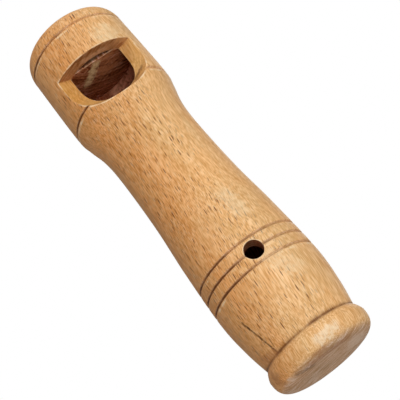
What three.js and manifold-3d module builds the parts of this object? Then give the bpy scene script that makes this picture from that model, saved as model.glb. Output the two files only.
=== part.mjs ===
// Owl call: a turned beech whistle blown from one end.
//
// A blind bore runs down the turned body from the mouth end to the wood above the knob.
// A glued block fills the bore's mouth but for a flat windway, which sends the breath across
// a window cut through the head. A small tone hole near the knob changes the note.
//
// Millimetres. +Z runs along the axis from the knob to the mouth end. The origin is the centre
// of the knob's flat end. The window and the tone hole face -Y.

import * as THREE from "three";
import { mergeVertices } from "three/addons/utils/BufferGeometryUtils.js";
import Module from "manifold-3d";

const wasm = await Module();
wasm.setup();

// Bore
const BORE_DIAMETER = 21.5;
const FLOOR_THICKNESS = 13.8; // solid wood between the knob's flat end and the bore's floor

// Knob
const KNOB_HEIGHT = 6.9; // from the flat end to the crease below the barrel
const KNOB_WIDEST_HEIGHT = 4.56;
const KNOB_LIP = 1.18; // how far the knob stands out past the barrel's foot
const KNOB_EDGE_ROUND = 5.45; // how far the rounded lower edge reaches in from the widest place
const KNOB_EDGE_POWER = 0.69; // 1 gives a quarter ellipse, less gives a squarer shoulder
const KNOB_TOP_POWER = 1.6; // 2 gives a straight slope up to the crease, 1 a quarter ellipse

// Turned outline above the knob. Each rise is the height above the place before it, and each
// wall is the wood outside the line of the bore.
const FOOT_WALL = 2.25;
const LOWER_BARREL_RISE = 7.2;
const LOWER_BARREL_WALL = 3.55;
const BELLY_RISE = 9.4;
const BELLY_WALL = 4.25;
const UPPER_BARREL_RISE = 16.5;
const UPPER_BARREL_WALL = 3.43;
const TAPER_RISE = 14;
const TAPER_WALL = 2.28;
const WAIST_RISE = 15.9;
const WAIST_WALL = 1.78;
const THROAT_RISE = 8.1;
const THROAT_WALL = 2.18;
const FLARE_RISE = 6;
const FLARE_WALL = 3.53;
const HEAD_RISE = 5;
const HEAD_WALL = 4.18;
const RIM_RISE = 20.2;
const RIM_WALL = 3.95;
const RIM_HEIGHT = 4.6; // from the rim's groove to the mouth end
const RIM_ROUND = 2.05; // how far the rounding draws the mouth end in

// Grooves
const GROOVE_WIDTH = 0.9;
const GROOVE_DEPTH = 0.42;
const RING_GROOVE_COUNT = 3;
const RING_GROOVE_PITCH = 3.45;
const RING_GROOVE_HEIGHT = 28.6; // the middle one, above the knob's flat end
const HEAD_GROOVE_DROP = 1.55; // below the place where the head reaches its full width

// Tone hole, drilled on the middle ring groove
const TONE_HOLE_DIAMETER = 5;

// Window, cut by a wheel that turns about a line beside the body and parallel to its axis.
// The wheel's flat side leaves the wall at the windway's end, its rounded side the ramp.
const WINDOW_WHEEL_RADIUS = 20;
const WINDOW_WHEEL_WIDTH = 16;
const WINDOW_WHEEL_ROUND = 12;
const WINDOW_BITE = 4.67; // how far the wheel reaches in past the line of the bore

// Block and windway
const WINDWAY_LENGTH = 14.5; // from the mouth end to the window's wall
const WINDWAY_HEIGHT = 1.85;
const BLOCK_CLEARANCE = 0.3; // glue line between the block and the bore
const BLOCK_END_SLANT = 5; // degrees, the back of the block's inner end lies nearer the mouth

// Facets
const TURN_SIDES = 64;
const WHEEL_SIDES = 96;
const TONE_HOLE_SIDES = 24;
const ROUND_STEPS = 6;
const OUTLINE_STEPS = 3; // rings between two named places of the outline

// Places worked out from the sizes
const boreRadius = BORE_DIAMETER / 2;
const footRadius = boreRadius + FOOT_WALL;
const knobRadius = footRadius + KNOB_LIP;
const outlinePlaces = [
  [0, FOOT_WALL],
  [LOWER_BARREL_RISE, LOWER_BARREL_WALL],
  [BELLY_RISE, BELLY_WALL],
  [UPPER_BARREL_RISE, UPPER_BARREL_WALL],
  [TAPER_RISE, TAPER_WALL],
  [WAIST_RISE, WAIST_WALL],
  [THROAT_RISE, THROAT_WALL],
  [FLARE_RISE, FLARE_WALL],
  [HEAD_RISE, HEAD_WALL],
  [RIM_RISE, RIM_WALL],
];
const headFullHeight =
  KNOB_HEIGHT + LOWER_BARREL_RISE + BELLY_RISE + UPPER_BARREL_RISE + TAPER_RISE +
  WAIST_RISE + THROAT_RISE + FLARE_RISE + HEAD_RISE;
const rimGrooveHeight = headFullHeight + RIM_RISE;
const bodyLength = rimGrooveHeight + RIM_HEIGHT;
const windowWallHeight = bodyLength - WINDWAY_LENGTH;
const windwayFloor = boreRadius - WINDWAY_HEIGHT; // distance of the block's flat from the axis

// Closed solid from a closed geometry: only positions are kept, and the flat slivers that a
// revolved profile has on its axis are dropped.
function toSolid(geometry) {
  const bare = geometry.clone();
  bare.deleteAttribute("normal");
  bare.deleteAttribute("uv");
  const merged = mergeVertices(bare, 1e-4);
  const index = merged.index.array;
  const triangles = [];
  for (let i = 0; i < index.length; i += 3) {
    const [a, b, c] = [index[i], index[i + 1], index[i + 2]];
    if (a !== b && b !== c && c !== a) triangles.push(a, b, c);
  }
  return new wasm.Manifold(
    new wasm.Mesh({
      numProp: 3,
      vertProperties: new Float32Array(merged.attributes.position.array),
      triVerts: new Uint32Array(triangles),
    }),
  );
}

function toGeometry(solid) {
  const mesh = solid.getMesh();
  const geometry = new THREE.BufferGeometry();
  geometry.setAttribute("position", new THREE.BufferAttribute(mesh.vertProperties, 3));
  geometry.setIndex(new THREE.BufferAttribute(mesh.triVerts, 1));
  geometry.computeVertexNormals();
  return geometry;
}

// Solid turned about Z from [radius, height] points that start and end on the axis.
function turned(points, sides) {
  const profile = points.map(([radius, height]) => new THREE.Vector2(radius, height));
  return new THREE.LatheGeometry(profile, sides).rotateX(Math.PI / 2);
}

// Quarter of a superellipse from one [radius, height] point to another. The curve leaves the
// first point along the axis and meets the second square to it.
function roundedQuarter([r0, z0], [r1, z1], power, steps) {
  return Array.from({ length: steps + 1 }, (_, i) => {
    const angle = (i / steps) * (Math.PI / 2);
    const across = i === steps ? 0 : Math.cos(angle) ** power;
    return [r1 + (r0 - r1) * across, z0 + (z1 - z0) * Math.sin(angle) ** power];
  });
}

// Knob from the centre of its flat end, round the lower edge and up to the crease.
function knobProfile() {
  const widest = [knobRadius, KNOB_WIDEST_HEIGHT];
  const lowerEdge = roundedQuarter(
    widest, [knobRadius - KNOB_EDGE_ROUND, 0], KNOB_EDGE_POWER, ROUND_STEPS,
  ).reverse();
  const upperSide = roundedQuarter(widest, [footRadius, KNOB_HEIGHT], KNOB_TOP_POWER, 4);
  return [[0, 0], ...lowerEdge, ...upperSide.slice(1)];
}

// Smooth outline through the named places, with a V turned in at each groove's height.
function barrelProfile() {
  let height = KNOB_HEIGHT;
  const places = outlinePlaces.map(([rise, wall]) => {
    height += rise;
    return new THREE.Vector2(height, boreRadius + wall);
  });
  const curve = new THREE.SplineCurve(places);
  const steps = places.length - 1;
  const fine = curve.getPoints(steps * 40);
  const radiusAt = (z) => {
    const next = fine.findIndex((point) => point.x >= z);
    if (next <= 0) return next === 0 ? fine[0].y : fine.at(-1).y;
    const [low, high] = [fine[next - 1], fine[next]];
    return THREE.MathUtils.mapLinear(z, low.x, high.x, low.y, high.y);
  };
  const grooves = Array.from(
    { length: RING_GROOVE_COUNT },
    (_, i) => RING_GROOVE_HEIGHT + (i - (RING_GROOVE_COUNT - 1) / 2) * RING_GROOVE_PITCH,
  );
  grooves.push(headFullHeight - HEAD_GROOVE_DROP, rimGrooveHeight);
  const half = GROOVE_WIDTH / 2;
  const plain = curve
    .getPoints(steps * OUTLINE_STEPS)
    .filter((point) => grooves.every((z) => Math.abs(point.x - z) > half * 1.4))
    .map((point) => [point.y, point.x]);
  const cut = grooves.flatMap((z) => [
    [radiusAt(z - half), z - half],
    [radiusAt(z) - GROOVE_DEPTH, z],
    [radiusAt(z + half), z + half],
  ]);
  return [...plain, ...cut].sort((a, b) => a[1] - b[1]);
}

// Rounded rim above its groove. The rounding leaves a flat ring round the bore.
function rimProfile() {
  const start = [boreRadius + RIM_WALL, rimGrooveHeight + GROOVE_WIDTH / 2];
  const drawnIn = Math.min(RIM_ROUND, RIM_WALL * 0.6);
  return roundedQuarter(start, [start[0] - drawnIn, bodyLength], 1, ROUND_STEPS).slice(1);
}

function turnedBlank() {
  const bore = [[boreRadius, bodyLength], [boreRadius, FLOOR_THICKNESS], [0, FLOOR_THICKNESS]];
  const knob = knobProfile();
  const barrel = barrelProfile().slice(1);
  return turned([...knob, ...barrel, ...rimProfile(), ...bore], TURN_SIDES);
}

function windowWheel() {
  const low = windowWallHeight - WINDOW_WHEEL_WIDTH;
  const round = roundedQuarter(
    [WINDOW_WHEEL_RADIUS, low + WINDOW_WHEEL_ROUND],
    [WINDOW_WHEEL_RADIUS - WINDOW_WHEEL_ROUND, low],
    1,
    ROUND_STEPS * 2,
  ).reverse();
  const profile = [[0, low], ...round, [WINDOW_WHEEL_RADIUS, windowWallHeight], [0, windowWallHeight]];
  const wheelAxis = WINDOW_WHEEL_RADIUS + boreRadius - WINDOW_BITE;
  return turned(profile, WHEEL_SIDES).translate(0, -wheelAxis, 0);
}

// Drill for the tone hole, from the axis out past the barrel.
function toneHoleDrill() {
  const radius = TONE_HOLE_DIAMETER / 2;
  const reach = boreRadius + BELLY_WALL * 2;
  return new THREE.CylinderGeometry(radius, radius, reach, TONE_HOLE_SIDES)
    .translate(0, -reach / 2, 0)
    .translate(0, 0, RING_GROOVE_HEIGHT);
}

function turnedBody() {
  const cut = toSolid(turnedBlank())
    .subtract(toSolid(windowWheel()))
    .subtract(toSolid(toneHoleDrill()));
  return toGeometry(cut);
}

// Dowel with a flat planed along its front. The flat and the bore enclose the windway.
function fippleBlock() {
  const radius = boreRadius - BLOCK_CLEARANCE;
  const dowel = new THREE.CylinderGeometry(radius, radius, WINDWAY_LENGTH, TURN_SIDES)
    .rotateX(Math.PI / 2)
    .translate(0, 0, windowWallHeight + WINDWAY_LENGTH / 2);
  const slope = Math.tan(THREE.MathUtils.degToRad(BLOCK_END_SLANT));
  const position = dowel.attributes.position;
  for (let i = 0; i < position.count; i += 1) {
    const atInnerEnd = position.getZ(i) < windowWallHeight + WINDWAY_LENGTH / 2;
    if (atInnerEnd) position.setZ(i, windowWallHeight + (position.getY(i) + windwayFloor) * slope);
  }
  const planed = new THREE.BoxGeometry(BORE_DIAMETER * 2, BORE_DIAMETER, WINDWAY_LENGTH * 4)
    .translate(0, -windwayFloor - boreRadius, windowWallHeight);
  return toGeometry(toSolid(dowel).subtract(toSolid(planed)));
}

function mesh(name, geometry, material) {
  const piece = new THREE.Mesh(geometry, material);
  piece.name = name;
  return piece;
}

const oiledBeech = new THREE.MeshStandardMaterial({ color: 0xd6a870, roughness: 0.45, metalness: 0 });
const bareBeech = new THREE.MeshStandardMaterial({ color: 0xa87a4c, roughness: 0.8, metalness: 0 });

const group = new THREE.Group();
group.add(mesh("turned_body", turnedBody(), oiledBeech));
group.add(mesh("fipple_block", fippleBlock(), bareBeech));

export default group;
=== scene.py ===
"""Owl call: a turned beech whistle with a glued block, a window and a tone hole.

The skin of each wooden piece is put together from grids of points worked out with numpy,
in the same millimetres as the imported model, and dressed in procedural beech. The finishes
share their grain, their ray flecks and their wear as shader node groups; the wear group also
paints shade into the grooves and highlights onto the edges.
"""

import logging
import math
from dataclasses import dataclass
from enum import Enum
from typing import Callable, Sequence

import bmesh
import bpy
import numpy as np
from mathutils import Matrix, Vector


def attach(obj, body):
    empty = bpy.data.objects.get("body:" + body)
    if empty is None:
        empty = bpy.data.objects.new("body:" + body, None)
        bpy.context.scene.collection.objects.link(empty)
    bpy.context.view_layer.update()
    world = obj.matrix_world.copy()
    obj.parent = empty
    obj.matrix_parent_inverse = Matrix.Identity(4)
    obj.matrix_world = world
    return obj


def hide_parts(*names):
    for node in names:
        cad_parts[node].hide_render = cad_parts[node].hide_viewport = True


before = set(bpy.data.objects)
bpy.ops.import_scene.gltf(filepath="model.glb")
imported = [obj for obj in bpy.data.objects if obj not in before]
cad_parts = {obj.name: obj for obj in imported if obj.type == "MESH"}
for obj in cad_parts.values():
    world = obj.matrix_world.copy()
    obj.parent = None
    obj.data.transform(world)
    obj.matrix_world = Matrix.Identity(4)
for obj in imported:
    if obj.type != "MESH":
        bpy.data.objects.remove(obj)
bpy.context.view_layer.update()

LOG = logging.getLogger("owl_call")
MM = 0.001
SAMPLES = 4000
CLOSE_ROWS = 14
Array = np.ndarray
Triple = tuple[float, float, float]
Outline = Callable[[Array], Array]


# Numbers along curves


def lerp(start: Array, end: Array, share: Array) -> Array:
    """Returns start + (end - start) * share."""
    return start + (end - start) * share


def crowded(count: int, low: float = 1.0, high: float = 1.0) -> Array:
    """Shares from 0 to 1 that crowd towards their ends.

    Formula: an even share s gives s^low / (s^low + (1 - s)^high).

    Args:
        count: How many steps there are.
        low: Crowding at 0, where 1 is even.
        high: Crowding at 1, where 1 is even.

    Returns:
        count + 1 rising shares.
    """
    share = np.linspace(0, 1, count + 1)
    rising, falling = share**low, (1 - share) ** high
    return rising / (rising + falling)


def bell(value: Array, middle: float, half: float) -> Array:
    """Bell curve: 1 in the middle, and 1/e at half a width from it."""
    return np.exp(-(((value - middle) / half) ** 2))


def catmull_rom(places: Array, steps: int) -> Array:
    """Smooth curve through places.

    Formula: between two places a cubic runs whose slope at each is half the step from the
    place before to the place after.

    Args:
        places: One row per place.
        steps: Steps between two places.

    Returns:
        The curve's points, one row each.
    """
    padded = np.vstack([places[:1], places, places[-1:]])
    share = np.linspace(0, 1, steps, endpoint=False)[:, None]
    parts = []
    for before, start, end, after in zip(padded, padded[1:], padded[2:], padded[3:]):
        leave, arrive = (end - before) / 2, (after - start) / 2
        cubic = 2 * start - 2 * end + leave + arrive
        square = -3 * start + 3 * end - 2 * leave - arrive
        parts.append(cubic * share**3 + square * share**2 + leave * share + start)
    return np.vstack([*parts, places[-1:]])


def resampled(curve: Array, step: float) -> Array:
    """Returns the same curve with points an even step apart, at most the given one.

    Args:
        curve: One row per point.
        step: The widest step.

    Returns:
        One row per point, both ends included.
    """
    run = np.r_[0, np.cumsum(np.linalg.norm(np.diff(curve, axis=0), axis=1))]
    even = np.linspace(0, run[-1], max(2, math.ceil(run[-1] / step)) + 1)
    return np.column_stack([np.interp(even, run, axis) for axis in curve.T])


def rounded_quarter(start: Sequence[float], end: Sequence[float], power: float) -> Array:
    """Quarter of a superellipse between two (radius, height) points.

    Formula: with an angle a from 0 to 90 degrees, the radius goes with cos(a)^power from the
    start to the end, and the height with sin(a)^power.

    Args:
        start: The point that the curve leaves along the axis.
        end: The point that it meets square to the axis.
        power: 1 is a quarter ellipse, 2 a straight slope, less than 1 squarer.

    Returns:
        Points from start to end.
    """
    angle = np.linspace(0, math.pi / 2, 181)
    across = np.clip(np.cos(angle), 0, None) ** power
    along = np.sin(angle) ** power
    return np.column_stack([lerp(end[0], start[0], across), lerp(start[1], end[1], along)])


def heights(low: float, high: float, step: float, fine: Sequence[float] = (), half: float = 0.65) -> Array:
    """Rows between two heights, an even step apart but close together round fine places.

    Args:
        low: The first height.
        high: The last height.
        step: About the distance between rows away from the fine places.
        fine: Heights that need close rows.
        half: How far the close rows reach on each side of a fine place.

    Returns:
        Rising heights, both ends included.
    """
    rows = np.linspace(low, high, max(1, round((high - low) / step)) + 1)
    margin = half / CLOSE_ROWS
    for place in fine:
        rows = rows[(np.abs(rows - place) > half * 1.15) | (rows == low) | (rows == high)]
        close = place + half * np.linspace(-1, 1, CLOSE_ROWS + 1)
        rows = np.r_[rows, close[(close > low + margin) & (close < high - margin)]]
    return np.unique(rows)


def profile(outline: Outline, rows: Array) -> Array:
    """(radius, height) profile of a round surface at the given heights."""
    return np.column_stack([outline(rows), rows])


def ring(radius: Array, angle: Array, height: Array) -> Array:
    """Points at a radius and height, with the angle taken from -Y and rising towards +X."""
    return np.stack(np.broadcast_arrays(radius * np.sin(angle), -radius * np.cos(angle), height), -1)


# Skins


class Cut(Enum):
    """How a stretch of a piece's surface was made. A piece has a material slot for each of its cuts."""

    TURNED = 0
    MILLED = 1
    BORED = 2
    SAWN = 3
    TRIMMED = 4


class Skin:
    """Closed skin put together from grids of points whose edges meet."""

    WELD = 1e-4
    BLOCKS = 60

    def __init__(self) -> None:
        """Starts with no patch."""
        self.grids: list[tuple[Array, Cut]] = []
        self.edges: list[Array] = []

    def add(self, grid: Array, cut: Cut) -> None:
        """Adds one patch: a grid of points, rows by columns by 3."""
        self.grids.append((grid, cut))

    def mark_edge(self, line: Array) -> None:
        """Marks a line of points as an edge that use has softened."""
        self.edges.append(line.reshape(-1, 3))

    def welded(self) -> tuple[Array, Array, Array]:
        """Joins the patches where their points meet.

        Returns:
            The points, the four corners of each face (a corner is repeated in a triangle),
            and each face's cut.
        """
        points, faces, cuts, first = [], [], [], 0
        for grid, cut in self.grids:
            rows, columns = grid.shape[:2]
            index = first + np.arange(rows * columns).reshape(rows, columns)
            quads = np.stack([index[:-1, :-1], index[:-1, 1:], index[1:, 1:], index[1:, :-1]], -1)
            faces.append(quads.reshape(-1, 4))
            cuts.append(np.full(len(faces[-1]), cut.value))
            points.append(grid.reshape(-1, 3))
            first += rows * columns
        cloud = np.vstack(points)
        _, kept, merged = np.unique(
            np.round(cloud / self.WELD).astype(np.int64), axis=0, return_index=True, return_inverse=True
        )
        quads = merged.reshape(-1)[np.vstack(faces)]
        distinct = (quads[:, [0, 1, 2, 3]] != quads[:, [1, 2, 3, 0]]).sum(1)
        across = (quads[:, 0] != quads[:, 2]) & (quads[:, 1] != quads[:, 3])
        real = (distinct >= 3) & across
        return cloud[kept], quads[real], np.concatenate(cuts)[real]

    def nearness(self, points: Array, reach: float) -> Array:
        """How near each point is to a marked edge: 1 on it, falling as a bell curve.

        Args:
            points: The points to measure.
            reach: Distance at which the nearness has fallen to 1/e.

        Returns:
            One number from 0 to 1 per point.
        """
        line = np.vstack(self.edges)
        blocks = np.array_split(points, self.BLOCKS)
        nearest = [((block[:, None] - line[None]) ** 2).sum(-1).min(1) for block in blocks]
        return np.exp(-np.concatenate(nearest) / reach**2)

    def softened(self, points: Array, quads: Array, reach: float, rounds: int) -> Array:
        """Rounds the marked edges.

        Formula: each round moves a point towards the mean of its neighbours, by half the
        way times its nearness to an edge.

        Args:
            points: The welded points.
            quads: The faces' corners.
            reach: How far from the edge the rounding reaches.
            rounds: How many times the points move.

        Returns:
            The moved points.
        """
        pairs = np.vstack([quads[:, [i, (i + 1) % 4]] for i in range(4)])
        pairs = pairs[pairs[:, 0] != pairs[:, 1]]
        pairs = np.unique(np.sort(pairs, 1), axis=0)
        one, other = np.r_[pairs[:, 0], pairs[:, 1]], np.r_[pairs[:, 1], pairs[:, 0]]
        degree = np.bincount(one, minlength=len(points))[:, None]
        share = 0.5 * self.nearness(points, reach)[:, None]
        moved = points.copy()
        for _ in range(rounds):
            mean = np.column_stack([np.bincount(one, part, len(points)) for part in moved[other].T])
            moved += share * (mean / degree - moved)
        return moved


def linked(name: str, data: bpy.types.ID) -> bpy.types.Object:
    """Makes an object from its data and links it to the scene."""
    made = bpy.data.objects.new(name, data)
    bpy.context.scene.collection.objects.link(made)
    return made


def make_piece(name: str, points: Array, quads: Array, cuts: Array) -> bpy.types.Object:
    """Makes a mesh object from points in millimetres, with its faces pointing outwards.

    Args:
        name: The piece's name.
        points: One row per point.
        quads: Corners of each face, with one repeated in a triangle.
        cuts: The cut of each face. The material slots take the piece's cuts in rising order.

    Returns:
        The object, at the origin.
    """
    mesh = bpy.data.meshes.new(name)
    mesh.from_pydata(points * MM, [], [tuple(dict.fromkeys(corners)) for corners in quads.tolist()])
    mesh.polygons.foreach_set("material_index", np.unique(cuts, return_inverse=True)[1])
    mesh.validate()
    shaped = bmesh.new()
    shaped.from_mesh(mesh)
    bmesh.ops.recalc_face_normals(shaped, faces=shaped.faces)
    shaped.to_mesh(mesh)
    shaped.free()
    mesh.shade_smooth()
    return linked(name, mesh)


def write_mask(piece: bpy.types.Object, name: str, values: Array) -> None:
    """Stores one number per point on a piece, for its finish to read."""
    mask = piece.data.attributes.new(name, "FLOAT", "POINT")
    mask.data.foreach_set("value", np.clip(values, 0, 1).astype(np.float32))


# Body


@dataclass(frozen=True)
class Groove:
    """A groove turned into the outline, in millimetres."""

    height: float
    half: float = 0.5
    depth: float = 0.5

    def share(self, z: Array) -> Array:
        """How deep the groove is at a height, from 0 to 1.

        Formula: one cosine wave across the groove's width, lifted to run from 0 to 1 and back,
        to the power 0.8.
        """
        across = np.clip(np.abs(z - self.height) / self.half, 0, 1)
        return (0.5 + 0.5 * np.cos(math.pi * across)) ** 0.8


@dataclass(frozen=True)
class Wheel:
    """Round-shouldered wheel that cut the window, in millimetres.

    It turned about a line parallel to the body's axis. Its flat side is the window's wall.
    """

    wall: float
    axis: float
    radius: float = 20.0
    width: float = 16.0
    shoulder: float = 12.0

    @property
    def shoulder_top(self) -> float:
        """Height at which the straight rim turns into the round shoulder."""
        return self.wall - self.width + self.shoulder

    def radius_at(self, z: Array) -> Array:
        """The wheel's radius at a height: a quarter circle below the straight rim."""
        drop = np.clip(self.shoulder_top - z, 0, self.shoulder)
        return self.radius - self.shoulder + np.sqrt(self.shoulder**2 - drop**2)

    def reach(self, outline: Array, z: Array) -> Array:
        """Half the angle over which the wheel cuts a round surface.

        Formula: the law of cosines in the triangle of the body's axis, the wheel's axis and
        the point where both circles meet.

        Args:
            outline: Radius of the round surface at each height.
            z: The heights.

        Returns:
            The half angle seen from the body's axis, 0 where the wheel doesn't reach.
        """
        cosine = (outline**2 + self.axis**2 - self.radius_at(z) ** 2) / (2 * self.axis * outline)
        return np.arccos(np.clip(cosine, -1, 1))

    def unrolled(self, points: Array) -> tuple[Array, Array]:
        """Unrolls points on the wheel.

        Formula: the run is the arc down the shoulder, or the height above it as a number
        below 0. The angle is taken about the wheel's axis.

        Args:
            points: Points on the wheel.

        Returns:
            The run along its profile and the angle of each point.
        """
        drop = self.shoulder_top - points[..., 2]
        bend = np.arcsin(np.clip(drop / self.shoulder, 0, 1)) * self.shoulder
        return np.where(drop > 0, bend, drop), np.arctan2(points[..., 0], self.axis + points[..., 1])

    def rolled(self, run: Array, angle: Array) -> Array:
        """Rolls up again what unrolled gives.

        Args:
            run: Run along the wheel's profile.
            angle: Angle about its axis.

        Returns:
            The points on the wheel.
        """
        bend = np.clip(run, 0, None) / self.shoulder
        radius = self.radius - self.shoulder * (1 - np.cos(bend))
        z = self.shoulder_top - np.where(run > 0, self.shoulder * np.sin(bend), run)
        return np.stack([radius * np.sin(angle), radius * np.cos(angle) - self.axis, z], -1)


@dataclass(frozen=True)
class Notch:
    """The window's opening in one round surface, with the rows that surround it.

    low, side and high are the heights of the rows below the corner of the opening, beside
    it and above its wall.
    """

    outline: Outline
    low: Array
    side: Array
    high: Array


@dataclass
class TurnedBody:
    """Turned, bored and cut beech body. Sizes in millimetres, heights from the knob's end.

    rises and walls give the outline: the step up to each of its places from the one before,
    and how thick the wood is there round the bore. knob_widest is the height of the knob's
    widest place, knob_lip how far it stands out past the crease, and knob_edge how far the
    flat end keeps within it. windway is a length, and bite how far the wheel reaches in past
    the bore's radius. A frame is the even rows and columns round an opening: outer_frame and
    inner_frame hold the height of the window frame's foot and that of the opening's corner,
    and window_frame, window_corner and tone_frame count columns to each side of the front.
    lip_drop is about how far the curved lip lies below the window's wall. Wear, with a painted
    highlight along the cut edges, and rounding reach out from those edges by wear_and_highlight_reach and
    soft_reach.
    """

    bore: float = 10.75
    floor: float = 13.8
    floor_round: float = 1.0
    knob_height: float = 6.9
    knob_widest: float = 4.56
    knob_lip: float = 1.18
    knob_edge: float = 5.45
    rises: tuple[float, ...] = (0, 7.2, 9.4, 16.5, 14, 15.9, 8.1, 6, 5, 20.2)
    walls: tuple[float, ...] = (2.25, 3.55, 4.25, 3.43, 2.28, 1.78, 2.18, 3.53, 4.18, 3.95)
    rim_height: float = 4.6
    rim_round: float = 2.05
    groove_heights: tuple[float, ...] = (25.15, 28.6, 32.05, 87.45, 109.2)
    tone_hole: float = 2.5
    tone_height: float = 28.6
    tone_margin: float = 2.95
    windway: float = 14.5
    bite: float = 4.67
    outer_frame: tuple[float, float] = (79.5, 86.95)
    inner_frame: tuple[float, float] = (82.0, 88.5)
    frame_rise: float = 3.0
    columns: int = 160
    window_frame: int = 27
    window_corner: int = 18
    tone_frame: int = 7
    row_step: float = 0.7
    curve_steps: int = 60
    lip_drop: float = 12.2
    wear_and_highlight_reach: float = 0.26
    soft_reach: float = 0.3
    soft_rounds: int = 10

    def __post_init__(self) -> None:
        """Works out the smooth outline and the tools that cut it."""
        places = np.column_stack([np.cumsum(self.rises) + self.knob_height, self.walls])
        places[:, 1] += self.bore
        self.curve = catmull_rom(places, self.curve_steps)
        self.grooves = [Groove(height) for height in self.groove_heights]
        self.rim_start = self.grooves[-1].height + self.grooves[-1].half
        self.length = self.grooves[-1].height + self.rim_height
        self.wheel = Wheel(self.length - self.windway, Wheel.radius + self.bore - self.bite)
        self.frame_top = self.wheel.wall + self.frame_rise
        self.tone_band = (self.tone_height - self.tone_margin, self.tone_height + self.tone_margin)
        self.knob_flat = self.curve[0, 1] + self.knob_lip - self.knob_edge
        self.pitch = 2 * math.pi / self.columns
        self.skin = Skin()

    def plain_radius(self, z: Array) -> Array:
        """The barrel's radius at a height, without its grooves."""
        return np.interp(z, self.curve[:, 0], self.curve[:, 1])

    def radius(self, z: Array) -> Array:
        """The barrel's radius at a height, grooves included."""
        return self.plain_radius(z) - sum(groove.depth * groove.share(z) for groove in self.grooves)

    def bore_radius(self, z: Array) -> Array:
        """The bore's radius, the same at every height."""
        return np.full(np.shape(z), self.bore)

    def around(self, skip: int = 0) -> Array:
        """Angles of the columns, all round or leaving out skip columns each side of the front."""
        return np.arange(skip, self.columns - skip + 1) * self.pitch

    def turned(self, line: Array, skip: int = 0) -> Array:
        """Grid of a (radius, height) profile carried round the axis."""
        return ring(line[:, :1], self.around(skip)[None], line[:, 1:])

    def band(self, line: Array, cut: Cut, skip: int = 0) -> None:
        """Adds a profile carried round, all the way or leaving out the frame at the front."""
        self.skin.add(self.turned(line, skip), cut)

    def knob_profile(self) -> Array:
        """Draws the knob: the flat end, a squarish quarter out and a flatter one back in.

        Returns:
            (radius, height) profile from the centre of the flat end up to the crease.
        """
        foot, flat = self.curve[0, 1], self.knob_flat
        widest = (foot + self.knob_lip, self.knob_widest)
        lower = resampled(rounded_quarter(widest, (flat, 0), 0.69)[::-1], 0.4)
        upper = resampled(rounded_quarter(widest, (foot, self.knob_height), 1.6), 0.28)
        centre = np.column_stack([flat * np.array([0, 0.04, 0.2, 0.4, 0.6, 0.8, 0.93]), np.zeros(7)])
        return np.vstack([centre, lower, upper[1:]])

    def rim_profile(self) -> Array:
        """Draws the rim: a quarter ellipse and the flat ring of the mouth end.

        Returns:
            (radius, height) profile from the rim's groove over the mouth end to the bore.
        """
        start = (self.radius(np.array(self.rim_start)).item(), self.rim_start)
        drawn = start[0] - self.rim_round
        over = resampled(rounded_quarter(start, (drawn, self.length), 1), 0.35)
        flat = lerp(drawn, self.bore, crowded(6, 1, 1.8))[1:]
        return np.vstack([over, np.column_stack([flat, np.full(6, self.length)])])

    def notched(self, notch: Notch) -> tuple[list[Array], Array, Array]:
        """Grids that fill a round surface round the window's opening.

        Formula: the columns below run up to the opening's lower edge, the rows beside run up
        to its sides, and both spread evenly again at the frame round it.

        Args:
            notch: The surface and its rows.

        Returns:
            The grids, the opening's edge from the wall's right end down, across and up to
            its left end, and the edge along the wall.
        """
        fine = np.linspace(notch.low[0], self.wheel.shoulder_top, SAMPLES)
        reach = self.wheel.reach(notch.outline(fine), fine)
        rising = np.maximum.accumulate(reach)
        start = np.argmax(reach > 0) - 1
        corner_z = notch.low[-1]
        corner = np.interp(corner_z, fine, reach)
        count, even = self.window_corner, self.window_corner * self.pitch
        outer = self.window_frame - count
        edge = self.window_frame * self.pitch
        sideways = np.linspace(-1, 1, 2 * count + 1)
        close, spread = crowded(outer, 1.7, 1), np.linspace(0, 1, outer + 1)
        # Below the opening: sideways goes with the columns, upward with the rows.
        upward = ((notch.low - notch.low[0]) / (corner_z - notch.low[0]))[:, None]
        foot = np.interp(np.abs(sideways) * corner, rising[start:], fine[start:])
        foot[[0, -1]] = corner_z
        low_z = lerp(notch.low[0], foot[None], upward)
        low_angle = sideways * lerp(even, corner, upward)
        grids = [ring(notch.outline(low_z), low_angle, low_z)]
        # Below and beside the corner.
        low_side = lerp(lerp(even, corner, upward), edge, lerp(spread, close, upward))
        grids += self.both(notch, low_side, notch.low)
        # Beside the opening.
        reach_side = self.wheel.reach(notch.outline(notch.side), notch.side)
        reach_side[0] = corner
        grids += self.both(notch, lerp(reach_side[:, None], edge, close), notch.side)
        # Above the wall.
        upward = ((notch.high - notch.high[0]) / (notch.high[-1] - notch.high[0]))[:, None]
        above = lerp(reach_side[-1], even, upward)
        grids.append(ring(notch.outline(notch.high)[:, None], sideways * above, notch.high[:, None]))
        grids += self.both(notch, lerp(above, edge, lerp(close, spread, upward)), notch.high)
        side = ring(notch.outline(notch.side), reach_side, notch.side)
        mirrored = side * np.array([-1, 1, 1])
        rim = np.vstack([side[::-1], grids[0][-1][::-1][1:-1], mirrored])
        return grids, rim, grids[-3][0]

    def both(self, notch: Notch, angle: Array, rows: Array) -> list[Array]:
        """The grid at the given angles and heights, and its mirror image on the left."""
        radius = notch.outline(rows)[:, None]
        return [ring(radius, sign * angle, rows[:, None]) for sign in (1, -1)]

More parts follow.
